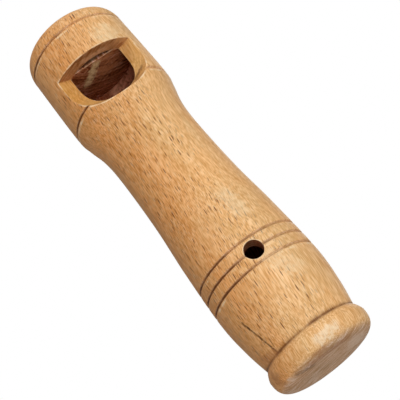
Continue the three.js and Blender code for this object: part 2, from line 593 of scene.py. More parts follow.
    def window(self) -> None:
        """Adds the window: both round surfaces about it, the ramp and the wall."""
        wall = self.wheel.wall
        low = lerp(*self.outer_frame, crowded(11, 1, 1.6))
        side = heights(low[-1], wall, 0.55, [self.grooves[3].height])
        side = np.unique(np.r_[side, wall - np.array([0.05, 0.14, 0.3])])
        high = lerp(wall, self.frame_top, crowded(7, 1.7, 1))
        inner_low = lerp(*self.inner_frame, crowded(9, 1, 1.6))
        inner_side = lerp(inner_low[-1], wall, crowded(len(side) - 1, 1, 1.25))
        rims, arches = [], []
        for notch, cut in (
            (Notch(self.radius, low, side, high), Cut.TURNED),
            (Notch(self.bore_radius, inner_low, inner_side, high), Cut.BORED),
        ):
            grids, rim, arch = self.notched(notch)
            for grid in grids:
                self.skin.add(grid, cut)
            self.skin.mark_edge(rim)
            self.skin.mark_edge(arch)
            rims.append(rim)
            arches.append(arch)
            rows = np.r_[notch.low, notch.side[1:], notch.high[1:]]
            self.band(profile(notch.outline, rows), cut, self.window_frame)
        # Ramp and sides: straight lines between the two rims on the unrolled wheel.
        share = crowded(18, 1.6, 1.6)[:, None]
        (run_a, turn_a), (run_b, turn_b) = [self.wheel.unrolled(rim) for rim in rims]
        ramp = self.wheel.rolled(lerp(run_a, run_b, share), lerp(turn_a, turn_b, share))
        ramp[0], ramp[-1] = rims
        self.skin.add(ramp, Cut.MILLED)
        # Wall: straight lines between the two arches, bent at both ends to meet the wheel.
        flat = lerp(arches[0][None], arches[1][None], share[..., None])
        sideways = np.linspace(-1, 1, flat.shape[1])[None, :, None]
        for column, end in ((-1, ramp[:, 0]), (0, ramp[:, -1])):
            bend = (end - flat[:, column])[:, None]
            flat = flat + bend * np.clip(sideways if column else -sideways, 0, 1) ** 4
        self.skin.add(flat, Cut.MILLED)

    def tone_ring(self, outline: Outline, rows: Array) -> Array:
        """Grid between the tone hole's circle and the frame round it, on one round surface.

        Formula: the frame's four sides take a quarter of the circle each. Each point of the
        frame is joined to the circle's point at the same share of its quarter, by a straight
        line on the unrolled surface.

        Args:
            outline: The surface's radius by height.
            rows: Heights of the frame's side.

        Returns:
            The grid, whose first row is the circle.
        """
        edge = self.tone_frame * self.pitch
        across = np.linspace(-1, 1, 2 * self.tone_frame + 1)
        up = 2 * (rows - rows[0]) / (rows[-1] - rows[0]) - 1
        turn = np.r_[up, 2 + across[1:], 4 - up[::-1][1:], 6 + across[1:]] * math.pi / 4
        right, top = np.full(len(up), edge), np.full(len(across) - 1, rows[-1])
        frame_angle = np.r_[right, -across[1:] * edge, -right[1:], across[1:] * edge]
        frame_z = np.r_[rows, top, rows[::-1][1:], top * 0 + rows[0]]
        z = self.tone_height + self.tone_hole * np.sin(turn)
        angle = np.arcsin(self.tone_hole * np.cos(turn) / outline(z))
        share = crowded(11, 1.7, 1)[:, None]
        grid_z = lerp(z, frame_z, share)
        return ring(outline(grid_z), lerp(angle, frame_angle, share), grid_z)

    def tone(self) -> None:
        """Adds the tone hole: both round surfaces about it and its drilled wall."""
        rows = heights(*self.tone_band, 0.6, [self.tone_height])
        circles = []
        for outline, cut in ((self.radius, Cut.TURNED), (self.bore_radius, Cut.BORED)):
            grid = self.tone_ring(outline, rows)
            self.skin.add(grid, cut)
            self.skin.mark_edge(grid[0])
            circles.append(grid[0][None])
            self.band(profile(outline, rows), cut, self.tone_frame)
        self.skin.add(lerp(*circles, crowded(10, 1.7, 1.7)[:, None, None]), Cut.BORED)

    def bands(self) -> None:
        """Adds the parts that go all the way round."""
        low, high = self.tone_band
        grooves, step = self.groove_heights, self.row_step
        self.band(self.knob_profile(), Cut.TURNED)
        foot = heights(self.knob_height, low, step, [grooves[0], self.knob_height])
        self.band(profile(self.radius, foot), Cut.TURNED)
        waist = heights(high, self.outer_frame[0], step, [grooves[2]])
        self.band(profile(self.radius, waist), Cut.TURNED)
        neck = profile(self.radius, heights(self.frame_top, self.rim_start, step, [grooves[4]]))
        self.band(np.vstack([neck, self.rim_profile()[1:]]), Cut.TURNED)
        top = lerp(self.length, self.frame_top, crowded(14, 1.6, 1))
        self.band(profile(self.bore_radius, top), Cut.BORED)
        middle = np.linspace(high, self.inner_frame[0], 40)
        self.band(profile(self.bore_radius, middle), Cut.BORED)
        corner_z, corner_radius = self.floor + self.floor_round, self.bore - self.floor_round
        bottom = profile(self.bore_radius, np.linspace(low, corner_z, 12))
        corner = rounded_quarter((self.bore, corner_z), (corner_radius, self.floor), 1)
        centre = np.column_stack([corner_radius * np.linspace(1, 0, 6)[1:], np.full(5, self.floor)])
        self.band(np.vstack([bottom, resampled(corner, 0.3)[1:], centre]), Cut.BORED)
        self.skin.mark_edge(self.turned(np.array([[self.bore, self.length]])))

    def outside(self, points: Array) -> Array:
        """Whether each point lies on the outline or in one of its grooves."""
        return np.hypot(points[:, 0], points[:, 1]) > self.plain_radius(points[:, 2]) - 0.7

    def wear_and_highlight_mask(self, points: Array, near: Array) -> Array:
        """How pale each point is painted: wear on the cut edges, the grooves' shoulders and the knob's end,
        with a painted highlight where those edges catch the light.

        Formula: cut edges by their nearness, most at the lip and the tone hole. The grooves'
        lower shoulders and the knob's end by bell curves about their heights, the shoulders
        weaker on the lower half and on the back.

        Args:
            points: The softened points.
            near: How near each was to a cut edge before.

        Returns:
            One number from 0 to 1 per point.
        """
        x, y, z = points.T
        lip, waist = self.wheel.wall - self.lip_drop, self.tone_height + 40
        # Painted highlight: the bright rims of the lip and the tone hole are lifted further.
        near = near * (0.88 + 0.4 * (bell(z, lip, 3.6) + bell(z, self.tone_height, 4)))
        shoulder = np.max([bell(z, height - 0.9, 0.36) for height in self.groove_heights], axis=0)
        shoulder *= np.where(z > waist, 0.95, 0.65) * (1 - 0.45 * np.clip(y / 8, 0, 1))
        knob_end = 0.95 * bell(z, 0.16, 0.16) * (np.hypot(x, y) > self.knob_flat)
        return np.maximum(near, np.maximum(shoulder, knob_end) * self.outside(points))

    def oil_and_shade_mask(self, points: Array) -> Array:
        """How dark each point is painted: oil held in the grooves and the crease, with painted shade there.

        Formula: grooves by their depth and the crease by bell curves about its height, both
        weaker towards +X, the lit side, and the rim's groove weaker still at the front. The bore is
        darkened as painted shade above the wall at the front, where the windway runs.

        Args:
            points: The softened points.

        Returns:
            One number from 0 to 1 per point.
        """
        x, y, z = points.T
        radius = np.maximum(np.hypot(x, y), 1)
        depth = np.max([groove.share(z) for groove in self.grooves], axis=0)
        # Painted shade: the grooves darken more on the -X side, away from the light, over their oil.
        depth *= 0.8 - (0.47 * x - 0.17 * y) / radius
        depth *= 1 - 0.5 * ((z > self.rim_start - 3) & (y < 0)) * bell(x, 0.5, 7)
        # The crease's broad dark band is painted shade in the V, with some oil.
        crease = 0.6 * bell(z, self.knob_height, 0.9) + 0.4 * bell(z, self.knob_height, 0.35)
        crease *= 0.85 - 0.25 * x / radius
        # Painted shade in the narrow windway, above the wall at the front of the bore.
        windway_shade = (radius < self.bore + 0.05) & (z > self.wheel.wall + 0.1) & (y < -5)
        return np.maximum(np.maximum(depth, crease) * self.outside(points), windway_shade)

    def build(self) -> bpy.types.Object:
        """Builds the body's mesh with its masks of edges and grooves."""
        self.bands()
        self.window()
        self.tone()
        points, quads, cuts = self.skin.welded()
        near = self.skin.nearness(points, self.wear_and_highlight_reach)
        points = self.skin.softened(points, quads, self.soft_reach, self.soft_rounds)
        piece = make_piece("beech_body", points, quads, cuts)
        write_mask(piece, "edge", self.wear_and_highlight_mask(points, near))
        write_mask(piece, "groove", self.oil_and_shade_mask(points))
        return piece


# Block


@dataclass
class FippleBlock:
    """Glued dowel with the windway's flat along its front. Sizes in millimetres.

    flat is how far the flat lies from the axis, inner_end the height of the inner end at the
    flat, slant the angle in radians by which that end leans, and soft the rounding of both
    ends.
    """

    radius: float = 10.71
    flat: float = 8.9
    inner_end: float = 99.3
    length: float = 14.5
    slant: float = math.radians(5)
    soft: float = 0.16
    flat_steps: int = 40
    round_steps: int = 120
    rows: int = 26

    def build(self) -> bpy.types.Object:
        """Builds the block's mesh.

        Formula: at each angle from the front the radius is the lesser of the dowel's and
        the flat's distance over the angle's cosine. The profile runs from the centre of the
        inner end out, along the dowel and back to the centre of the mouth end.
        """
        corner = math.acos(self.flat / self.radius)
        angle = np.r_[
            lerp(-corner, corner, crowded(self.flat_steps, 1.3, 1.3)),
            lerp(corner, 2 * math.pi - corner, crowded(self.round_steps, 1.1, 1.1))[1:],
        ]
        reach = np.where(np.abs(angle) < corner, self.flat / np.cos(angle), self.radius)
        bend = np.linspace(0, math.pi / 2, 6)
        inset = self.soft * (1 - np.sin(bend))
        share = np.r_[0, 0.05, np.linspace(0.15, 0.97, 14)][:, None]
        cap = (reach - self.soft) * share
        rows = np.linspace(self.soft, self.length - self.soft, self.rows)[1:-1]
        side = np.repeat(reach[None], len(rows), 0)
        radius = np.vstack([cap, reach - inset[:, None], side, reach - inset[::-1, None], cap[::-1]])
        rounding = self.soft * (1 - np.cos(bend))
        ends = np.zeros(len(share))
        along = np.r_[ends, rounding, rows, self.length - rounding[::-1], ends + self.length][:, None]
        y = -radius * np.cos(angle)
        tilt = (y + self.flat) * math.tan(self.slant) * (1 - along / self.length)
        grid = ring(radius, angle[None], self.inner_end + along + tilt)
        skin = Skin()
        mouth = -len(share) - len(bend)
        skin.add(grid[: mouth + 1], Cut.SAWN)
        skin.add(grid[mouth:], Cut.TRIMMED)
        points, quads, cuts = skin.welded()
        piece = make_piece("glued_block", points, quads, cuts)
        _, y, z = points.T
        # Painted highlight along the block's inner edge at the flat.
        write_mask(piece, "edge", bell(y, -self.flat, 0.35) * bell(z, self.inner_end, 0.4))
        # Painted shade: the block's flat, the floor of the windway, goes dark past its inner end.
        write_mask(piece, "groove", (y < 0.03 - self.flat) & (z > self.inner_end + 0.4))
        return piece


# Finishes


Socket = bpy.types.NodeSocket
Value = Socket | float | Sequence[float]
Group = bpy.types.NodeTree
# The tree's heart beside the call in millimetres, and the turn of its rays about Z in radians.
HEART = (18.8, 40.4, 0.0)
RAY_TURN = 0.436


class Graph:
    """Writes nodes into one node tree. A value may be a socket, a number, a vector or a colour."""

    def __init__(self, tree: Group) -> None:
        """Takes the tree that the nodes go into."""
        self.tree = tree

    def node(self, kind: str, values: dict | None = None, **settings: object) -> bpy.types.Node:
        """Adds a shader node.

        Args:
            kind: The node's type, without the ShaderNode before it.
            values: Input name or number to value.
            settings: The node's own settings.

        Returns:
            The node.
        """
        made = self.tree.nodes.new("ShaderNode" + kind)
        for name, setting in settings.items():
            setattr(made, name, setting)
        for name, value in (values or {}).items():
            self.feed(made.inputs[name], value)
        return made

    def feed(self, socket: Socket, value: Value) -> None:
        """Links a socket to an input, or sets the input to a number, vector or colour."""
        if isinstance(value, bpy.types.NodeSocket):
            self.tree.links.new(value, socket)
        elif socket.type == "RGBA":
            socket.default_value = (*value, 1.0)
        else:
            socket.default_value = value

    def math(self, operation: str, *values: Value) -> Socket:
        """One sum on numbers."""
        return self.node("Math", dict(enumerate(values)), operation=operation).outputs[0]

    def times(self, *values: Value) -> Socket:
        """The product of two or more numbers."""
        product, *others = values
        for other in others:
            product = self.math("MULTIPLY", product, other)
        return product

    def linear(self, value: Value, factor: Value, offset: Value) -> Socket:
        """Returns value * factor + offset."""
        return self.math("MULTIPLY_ADD", value, factor, offset)

    def vector(self, operation: str, *values: Value) -> Socket:
        """One sum on vectors that gives a vector."""
        return self.node("VectorMath", dict(enumerate(values)), operation=operation).outputs[0]

    def measure(self, operation: str, *values: Value) -> Socket:
        """One sum on vectors that gives a number."""
        return self.node("VectorMath", dict(enumerate(values)), operation=operation).outputs[1]

    def split(self, vector: Value) -> list[Socket]:
        """The three parts of a vector."""
        return list(self.node("SeparateXYZ", {0: vector}).outputs)

    def joined(self, *parts: Value) -> Socket:
        """A vector from its parts, of which the ones left out are 0."""
        return self.node("CombineXYZ", dict(enumerate(parts))).outputs[0]

    def mix(self, share: Value, one: Value, other: Value, blend: str = "MIX") -> Socket:
        """A mix of two colours."""
        values = {0: share, 6: one, 7: other}
        return self.node("Mix", values, data_type="RGBA", blend_type=blend).outputs[2]

    def ramp(self, value: Value, low: float, high: float, start: float = 0.0, end: float = 1.0) -> Socket:
        """Takes low..high smoothly to start..end and holds it outside."""
        values = {0: value, 1: low, 2: high, 3: start, 4: end}
        return self.node("MapRange", values, interpolation_type="SMOOTHSTEP").outputs[0]

    def noise(self, place: Value, detail: float = 2.0, roughness: float = 0.5) -> Socket:
        """Cloudy noise from 0 to 1, one cloud to each unit of its place."""
        values = {"Vector": place, "Scale": 1.0, "Detail": detail, "Roughness": roughness}
        return self.node("TexNoise", values).outputs[0]

    def clouds(
        self, place: Value, across: float, along: float, detail: float = 2.0, roughness: float = 0.5
    ) -> Socket:
        """Cloudy noise with so many clouds to a millimetre across the call and along it."""
        return self.noise(self.vector("MULTIPLY", place, (across, across, along)), detail, roughness)

    def placed(self, group: Group, values: dict[str, Value]) -> dict[str, Socket]:
        """Places a shared group, feeds it and returns its outputs by name."""
        node = self.node("Group", None, node_tree=group)
        for name, value in values.items():
            self.feed(node.inputs[name], value)
        return dict(node.outputs.items())


def emptied(owner: bpy.types.Material | bpy.types.World) -> Group:
    """The node tree of a material or a world, without its first nodes."""
    owner.use_nodes = True
    owner.node_tree.nodes.clear()
    return owner.node_tree


def new_group(name: str, inputs: dict[str, object], outputs: Sequence[str]) -> tuple[Graph, dict, dict]:
    """Starts a shader node group.

    Args:
        name: The group's name.
        inputs: Input name to its default, a number or a vector.
        outputs: Names of the outputs, all numbers.

    Returns:
        The group's graph, its input sockets by name, and its output sockets by name.
    """
    tree = bpy.data.node_groups.new(name, "ShaderNodeTree")
    for title, default in inputs.items():
        kind = "NodeSocketFloat" if isinstance(default, (int, float)) else "NodeSocketVector"
        tree.interface.new_socket(name=title, in_out="INPUT", socket_type=kind).default_value = default
    for title in outputs:
        tree.interface.new_socket(name=title, in_out="OUTPUT", socket_type="NodeSocketFloat")
    graph = Graph(tree)
    entry, leave = tree.nodes.new("NodeGroupInput"), tree.nodes.new("NodeGroupOutput")
    return graph, dict(entry.outputs.items()), dict(leave.inputs.items())


def grain_group() -> Group:
    """Growth rings, fibres and slow changes of tone in beech, and a redder, darker -X side that is painted
    shade, from a place in millimetres.
    """
    graph, given, out = new_group(
        "beech_grain",
        {"Place": (0, 0, 0), "Heart": HEART, "Ring spacing": 2.3, "Painted shade side": (-0.075, 0.02, 0)},
        ("Rings", "Bands", "Fibre", "Clouds", "Redness", "Hue"),
    )
    place = given["Place"]
    # Rings wander by up to 3 mm about the heart, and each darkens slowly and pales fast.
    x, y, z = graph.split(graph.vector("SUBTRACT", place, given["Heart"]))
    wander = graph.linear(graph.clouds(place, 0.06, 0.014), 6.0, -3.0)
    distance = graph.math("ADD", graph.measure("LENGTH", graph.joined(x, y)), wander)
    phase = graph.math("FRACT", graph.math("DIVIDE", distance, given["Ring spacing"]))
    late = graph.times(graph.ramp(phase, 0.1, 0.86), graph.ramp(phase, 0.88, 1.0, 1.0, 0.0))
    graph.feed(out["Rings"], late)
    # Bands are clouds drawn out along the rings and the grain.
    turn = graph.math("ARCTAN2", y, x)
    banded = graph.joined(graph.times(distance, 1.3), graph.times(turn, 9.0), graph.times(z, 0.03))
    graph.feed(out["Bands"], graph.noise(banded, 3, 0.6))
    graph.feed(out["Fibre"], graph.clouds(place, 4.4, 0.3, 1, 0.6))
    hue = graph.vector("MULTIPLY_ADD", place, (0.11, 0.11, 0.045), (31, 7, 3))
    graph.feed(out["Hue"], graph.ramp(graph.noise(hue, 3, 0.6), 0.32, 0.68))
    clouds = graph.clouds(place, 0.17, 0.06, 3, 0.55)
    graph.feed(out["Clouds"], clouds)
    # Painted shade: redness rises towards -X, the side away from the light, with random clouds over it.
    side = graph.measure("DOT_PRODUCT", place, given["Painted shade side"])
    graph.feed(out["Redness"], graph.ramp(graph.math("ADD", side, clouds), 0.25, 1.6))
    return graph.tree


def fleck_group() -> Group:
    """Ray flecks of beech.

    A ray is a thin sheet that runs outwards from the heart. The pattern is drawn across the
    rays and along the grain and goes straight through the wood in the rays' own direction,
    so it shows as spindles where the surface faces the heart and as flakes where it doesn't.
    """
    graph, given, out = new_group(
        "beech_flecks",
        {"Place": (0, 0, 0), "Turn": RAY_TURN, "Width": 1.0, "Length": 5.0, "Share": 0.5, "Size": 0.2,
         "Seed": 0.0},
        ("Flecks",),
    )
    place = given["Place"]
    turning = graph.node("VectorRotate", {"Vector": place, "Angle": given["Turn"]}, rotation_type="Z_AXIS")
    across, _, along = graph.split(turning.outputs[0])
    sway = graph.math("MULTIPLY_ADD", graph.clouds(place, 0.22, 0.05, 1), 0.8, across)
    cell = graph.joined(
        graph.math("ADD", graph.math("DIVIDE", sway, given["Width"]), given["Seed"]),
        graph.math("DIVIDE", along, given["Length"]),
    )
    values = {"Vector": cell, "Scale": 1.0, "Randomness": 1.0}
    cells = graph.node("TexVoronoi", values, voronoi_dimensions="2D").outputs
    # Each cell's random colour decides whether it has a fleck, and how large and dark it is.
    chance = graph.node("SeparateColor", {0: cells["Color"]}).outputs
    crowd = graph.ramp(graph.clouds(place, 0.12, 0.05), 0.32, 0.6, 0.35, 1.25)
    chosen = graph.math("LESS_THAN", chance[0], graph.times(given["Share"], crowd))
    size = graph.times(given["Size"], graph.linear(chance[1], 0.6, 0.8))
    spindle = graph.ramp(graph.math("DIVIDE", cells["Distance"], size), 0.55, 1.15, 1.0, 0.0)
    depth = graph.linear(chance[2], 0.4, 0.6)
    graph.feed(out["Flecks"], graph.times(spindle, chosen, depth))
    return graph.tree


def wear_and_painted_light_group() -> Group:
    """Wear and painted light: edges worn pale in patches with a painted highlight on them, and dark oil
    left in the grooves with painted shade.
    """
    graph, given, out = new_group(
        "wear_and_painted_light", {"Place": (0, 0, 0), "Edge": 0.0, "Groove": 0.0, "Patchiness": 4.0}, ("Worn and lit edges", "Oil and shade")
    )
    place = given["Place"]
    patch = graph.math("SUBTRACT", graph.clouds(place, 0.42, 0.42, 3, 0.6), 0.5)
    uneven = graph.linear(patch, given["Patchiness"], 0.85)
    graph.feed(out["Worn and lit edges"], graph.ramp(graph.times(given["Edge"], uneven), 0.3, 1.05))
    stretch = graph.ramp(graph.clouds(place, 0.09, 0.03), 0.36, 0.6, 0.6, 1.15)
    # Oil left in the grooves, with the painted shade that the groove mask carries.
    left = graph.times(given["Groove"], graph.linear(uneven, 0.3, 0.7), stretch)
    graph.feed(out["Oil and shade"], graph.ramp(left, 0.05, 0.95))
    return graph.tree


def tool_group() -> Group:
    """Arcs left by a saw or a bit that swings about a centre, from a place in millimetres."""
    graph, given, out = new_group(
        "tool_marks", {"Place": (0, 0, 0), "Centre": (0, 0, 0), "Spacing": 0.6}, ("Marks",)
    )
    reach = graph.measure("LENGTH", graph.vector("SUBTRACT", given["Place"], given["Centre"]))
    wander = graph.clouds(given["Place"], 0.4, 0.4)
    row = graph.math("ADD", graph.math("DIVIDE", reach, given["Spacing"]), wander)
    graph.feed(out["Marks"], graph.noise(graph.joined(row, graph.times(wander, 3.0)), 3, 0.7))
    return graph.tree


@dataclass(frozen=True)
class Shades:
    """Linear colours of one kind of beech surface."""

    pale: Triple
    dark: Triple
    red: Triple
    end: Triple
    fleck: Triple
    oil_and_shade: Triple
    palest: Triple


@dataclass(frozen=True)
class Figure:
    """How strongly the parts of the figure show, from 0 to 1."""

    rings: float = 0.4
    fibre: float = 0.27
    bands: float = 0.05
    flecks: float = 0.95
    marks: float = 0.0
    palest: float = 0.7


@dataclass(frozen=True)
class Streak:
    """A streak of another colour between two places, in millimetres."""

    start: Triple
    end: Triple
    half: float
    colour: Triple
    strength: float = 1.0

    def mask(self, graph: Graph, place: Socket) -> Socket:
        """Mask of the streak with ragged edges.

        Formula: the distance from the line between the two places, shifted by a noise of up
        to half the width each way, fades over the streak's edge, and the share of the way
        fades at both ends.

        Args:
            graph: The finish's graph.
            place: Places on the piece in millimetres.

        Returns:
            A number from 0 to 1.
        """
        run = Vector(self.end) - Vector(self.start)
        rough = graph.clouds(place, 1.1, 1.1, 3, 0.6)
        passed = graph.vector("SUBTRACT", place, self.start)
        share = graph.measure("DOT_PRODUCT", passed, tuple(run / run.length_squared))
        away = graph.measure("DISTANCE", passed, graph.vector("MULTIPLY", tuple(run), share))
        ragged = graph.linear(rough, 2 * self.half, graph.math("SUBTRACT", away, self.half))
        narrow = graph.ramp(ragged, self.half * 0.5, self.half * 1.3, 1.0, 0.0)
        short = graph.times(graph.ramp(share, -0.1, 0.1), graph.ramp(share, 0.8, 1.1, 1.0, 0.0))
        return graph.times(narrow, short, graph.ramp(rough, 0.35, 0.65, 1.0, 0.5), self.strength)


@dataclass(frozen=True)
class BeechFinish:
    """One finish of beech: its shades, its figure, its tool marks and its gloss.

    lean is how far the grain leans to +X and +Y for each millimetre up. Below the height
    calm_below the flecks are faint.
    """

    name: str
    shades: Shades
    figure: Figure = Figure()
    marks_centre: Triple = (0, 0, 0)
    marks_spacing: float = 0.6
    streaks: tuple[Streak, ...] = ()
    roughness: float = 0.5
    gloss: float = 0.15
    relief: float = 0.2
    lean: tuple[float, float] = (-0.073, 0.056)
    calm_below: float = -1.0

    def material(self, groups: dict[str, Group]) -> bpy.types.Material:
        """Builds the finish as a material, from the shared node groups by name."""
        made = bpy.data.materials.new(self.name)
        BeechGraph(emptied(made), self, groups).finished()
        return made


class BeechGraph(Graph):
    """Writes one finish of beech into its material."""

    def __init__(self, tree: Group, finish: BeechFinish, groups: dict[str, Group]) -> None:
        """Works out the places and the grain that the parts of the finish share.

        Args:
            tree: The material's node tree, empty.
            finish: The finish.
            groups: The shared node groups by name.
        """
        super().__init__(tree)
        self.finish, self.groups = finish, groups
        self.place = self.vector("MULTIPLY", self.node("TexCoord").outputs["Object"], (1 / MM,) * 3)
        *level, self.height = self.split(self.place)
        leant = [self.linear(self.height, lean, part) for lean, part in zip(finish.lean, level)]
        self.leant = self.joined(*leant, self.height)
        self.normal = self.node("NewGeometry").outputs["Normal"]
        self.ends = self.ramp(self.math("ABSOLUTE", self.split(self.normal)[2]), 0.55, 0.98)
        self.grain = self.placed(groups["grain"], {"Place": self.leant})

    def wood(self) -> Socket:
        """Colour of the bare figure: rings, the redder -X side that is painted shade, and end grain."""
        shades = self.finish.shades
        tone = self.mix(self.times(self.grain["Rings"], self.finish.figure.rings), shades.pale, shades.dark)
        tone = self.mix(self.times(self.grain["Redness"], 0.85), tone, shades.red)
        tone = self.mix(self.times(self.ends, 0.85), tone, shades.end)
        hue = self.mix(self.grain["Hue"], (1.03, 0.98, 0.93), (0.98, 1.02, 1.07))
        return self.mix(1.0, tone, hue, "MULTIPLY")

    def level(self) -> Socket:
        """Light and dark of clouds, fibres, bands and tool marks, as a factor about 1."""
        figure = self.finish.figure
        fibre, bands, marks = figure.fibre, figure.bands, figure.marks
        clouds = self.ramp(self.grain["Clouds"], 0.3, 0.7, 0.945, 1.05)
        fibres = self.ramp(self.grain["Fibre"], 0.33, 0.67, 1 - fibre, 1 + fibre * 0.7)
        swing = self.linear(self.ends, 6 * bands, bands)
        banded = self.linear(self.ramp(self.grain["Bands"], 0.33, 0.67, -1, 1), swing, 1.0)
        level = self.times(clouds, fibres, banded)
        if not marks:
            return level
        centre, spacing = self.finish.marks_centre, self.finish.marks_spacing
        values = {"Place": self.place, "Centre": centre, "Spacing": spacing}
        drawn = self.placed(self.groups["tool"], values)["Marks"]
        return self.times(level, self.ramp(drawn, 0.3, 0.7, 1 - marks, 1 + marks))

    def figured(self) -> Socket:
        """The wood's colour at its level. Red follows the level least, so darker wood is redder."""
        level = self.level()
        parts = {part: self.math("POWER", level, power) for part, power in enumerate((0.64, 1.05, 1.8))}
        return self.mix(1.0, self.wood(), self.node("CombineColor", parts).outputs[0], "MULTIPLY")

    def flecks(self) -> tuple[Socket, Socket]:
        """Masks of the ray flecks, which have two sizes, and of short pale fibres between them."""
        titles = ("Width", "Length", "Share", "Size", "Seed")
        sizes = ((0.66, 5.6, 0.36, 0.15, 0.0), (0.4, 3.2, 0.7, 0.18, 7.3), (0.44, 3.0, 0.7, 0.2, 31.7))
        large, small, pale = (
            self.placed(self.groups["flecks"], {"Place": self.leant, **dict(zip(titles, size))})["Flecks"]
            for size in sizes
        )
        return self.math("MAXIMUM", large, self.times(small, 0.6)), pale

    def rayed(self, tone: Socket, rays: Socket, pale: Socket) -> Socket:
        """Adds the flecks, dark where the surface faces the heart and pale flakes beside it.

        Args:
            tone: The colour so far.
            rays: The mask of the flecks.
            pale: The mask of the pale fibres.

        Returns:
            The colour.
        """
        shades, low = self.finish.shades, self.finish.calm_below
        outwards = (-math.sin(RAY_TURN), -math.cos(RAY_TURN), 0.0)
        across = self.math("ABSOLUTE", self.measure("DOT_PRODUCT", self.normal, outwards))
        facing = self.ramp(across, 0.4, 0.8)
        seen = self.times(self.linear(facing, 0.85, 0.15), self.finish.figure.flecks)
        calm = self.ramp(self.height, low - 0.6, low + 0.6, 0.35, 1.0)
        tone = self.mix(self.times(pale, seen, 0.38), tone, shades.palest)
        return self.mix(self.times(rays, seen, calm), tone, self.mix(facing, shades.palest, shades.fleck))

    def add_wear_and_painted_light(self, tone: Socket) -> Socket:
        """Adds worn edges with a painted highlight, grooves dark with oil and painted shade, and the
        finish's streaks, some of which are painted highlights and shade, to the colour so far.
        """
        shades, values = self.finish.shades, {"Place": self.place}
        for title in ("Edge", "Groove"):
            values[title] = self.node("Attribute", attribute_name=title.lower()).outputs["Fac"]
        wear_and_painted_light = self.placed(self.groups["wear_and_painted_light"], values)
        # Worn edges, with a painted highlight where they catch the light.
        tone = self.mix(self.times(wear_and_painted_light["Worn and lit edges"], self.finish.figure.palest), tone, shades.palest)
        # Oil in the grooves and the crease, with painted shade there.
        tone = self.mix(self.times(wear_and_painted_light["Oil and shade"], 0.88), tone, shades.oil_and_shade)
        for streak in self.finish.streaks:
            tone = self.mix(streak.mask(self, self.place), tone, streak.colour)
        return tone

    def finished(self) -> None:
        """Writes the whole finish and the material's output."""
        rays, pale = self.flecks()
        rough = self.linear(self.grain["Fibre"], 0.2, self.finish.roughness + 0.05)
        raised = self.linear(rays, -0.8, self.grain["Fibre"])
        relief = {"Strength": self.finish.relief, "Distance": 0.08 * MM, "Height": raised}
        values = {
            "Base Color": self.add_wear_and_painted_light(self.rayed(self.figured(), rays, pale)),
            "Roughness": self.linear(self.grain["Clouds"], -0.3, rough),
            "Normal": self.node("Bump", relief).outputs[0],
            "Specular IOR Level": self.finish.gloss,
        }
        self.node("OutputMaterial", {"Surface": self.node("BsdfPrincipled", values).outputs[0]})


TURNED = BeechFinish(
    "turned_beech",
    Shades(
        pale=(0.88, 0.52, 0.23), dark=(0.74, 0.41, 0.155), red=(0.77, 0.34, 0.105),
        end=(0.64, 0.40, 0.24), fleck=(0.11, 0.012, 0.001), oil_and_shade=(0.13, 0.034, 0.005),
        palest=(0.98, 0.75, 0.47),
    ),
    streaks=(
        # Painted highlight: a pale glossy patch on the knob's rounding at the front.
        Streak((-2.6, -13.6, 2.5), (4.8, -13.1, 3.0), 1.4, (1.0, 0.82, 0.58), 0.6),
        # Painted shade: dark bands along the flat end's front and lower-left edge, under the rounding.
        Streak((-6.5, -9.6, 0.3), (6.0, -9.6, 0.3), 1.3, (0.46, 0.20, 0.085), 0.75),
        Streak((-9.6, -8.4, 0.5), (-4.2, -7.5, 0.0), 0.9, (0.24, 0.115, 0.05), 0.65),
        Streak((-4.4, -11.9, 0.6), (-0.4, -12.4, 0.6), 0.8, (0.42, 0.19, 0.08), 0.6),
        # Painted shade on the knob's left side.
        Streak((-13.1, -6.0, 4.4), (-12.6, -3.4, 1.2), 1.7, (0.42, 0.17, 0.065), 0.6),
        Streak((-11.4, -6.9, 0.9), (-9.6, -5.6, 0.2), 0.8, (0.86, 0.60, 0.42), 0.75),
        Streak((8.2, -5.5, 0.0), (7.0, 2.5, 0.0), 2.6, (0.84, 0.59, 0.41), 0.85),
        # Painted highlights: pale satin patches on the barrel's front and a sheen on the head's right side.
        Streak((1.0, -14.8, 26.5), (6.2, -13.4, 18.0), 2.6, (0.98, 0.74, 0.45), 0.5),
        Streak((3.1, -13.4, 46.5), (3.9, -13.8, 37.0), 2.2, (0.98, 0.74, 0.45), 0.5),
        Streak((3.4, -14.6, 100.4), (9.8, -11.4, 103.4), 3.3, (1.0, 0.80, 0.50), 0.46),
        Streak((-12.0, -8.5, 18.2), (-11.0, -8.95, 12.6), 0.26, (0.07, 0.022, 0.007), 0.9),
        Streak((-11.0, -8.95, 12.9), (-9.8, -8.8, 7.2), 0.26, (0.07, 0.022, 0.007), 0.9),
        # Painted shade: a broad dark patch in the crease on the left side.
        Streak((-13.2, -3.2, 8.8), (-9.4, -9.0, 7.3), 1.2, (0.40, 0.16, 0.06), 0.55),
    ),
    calm_below=6.9,
)
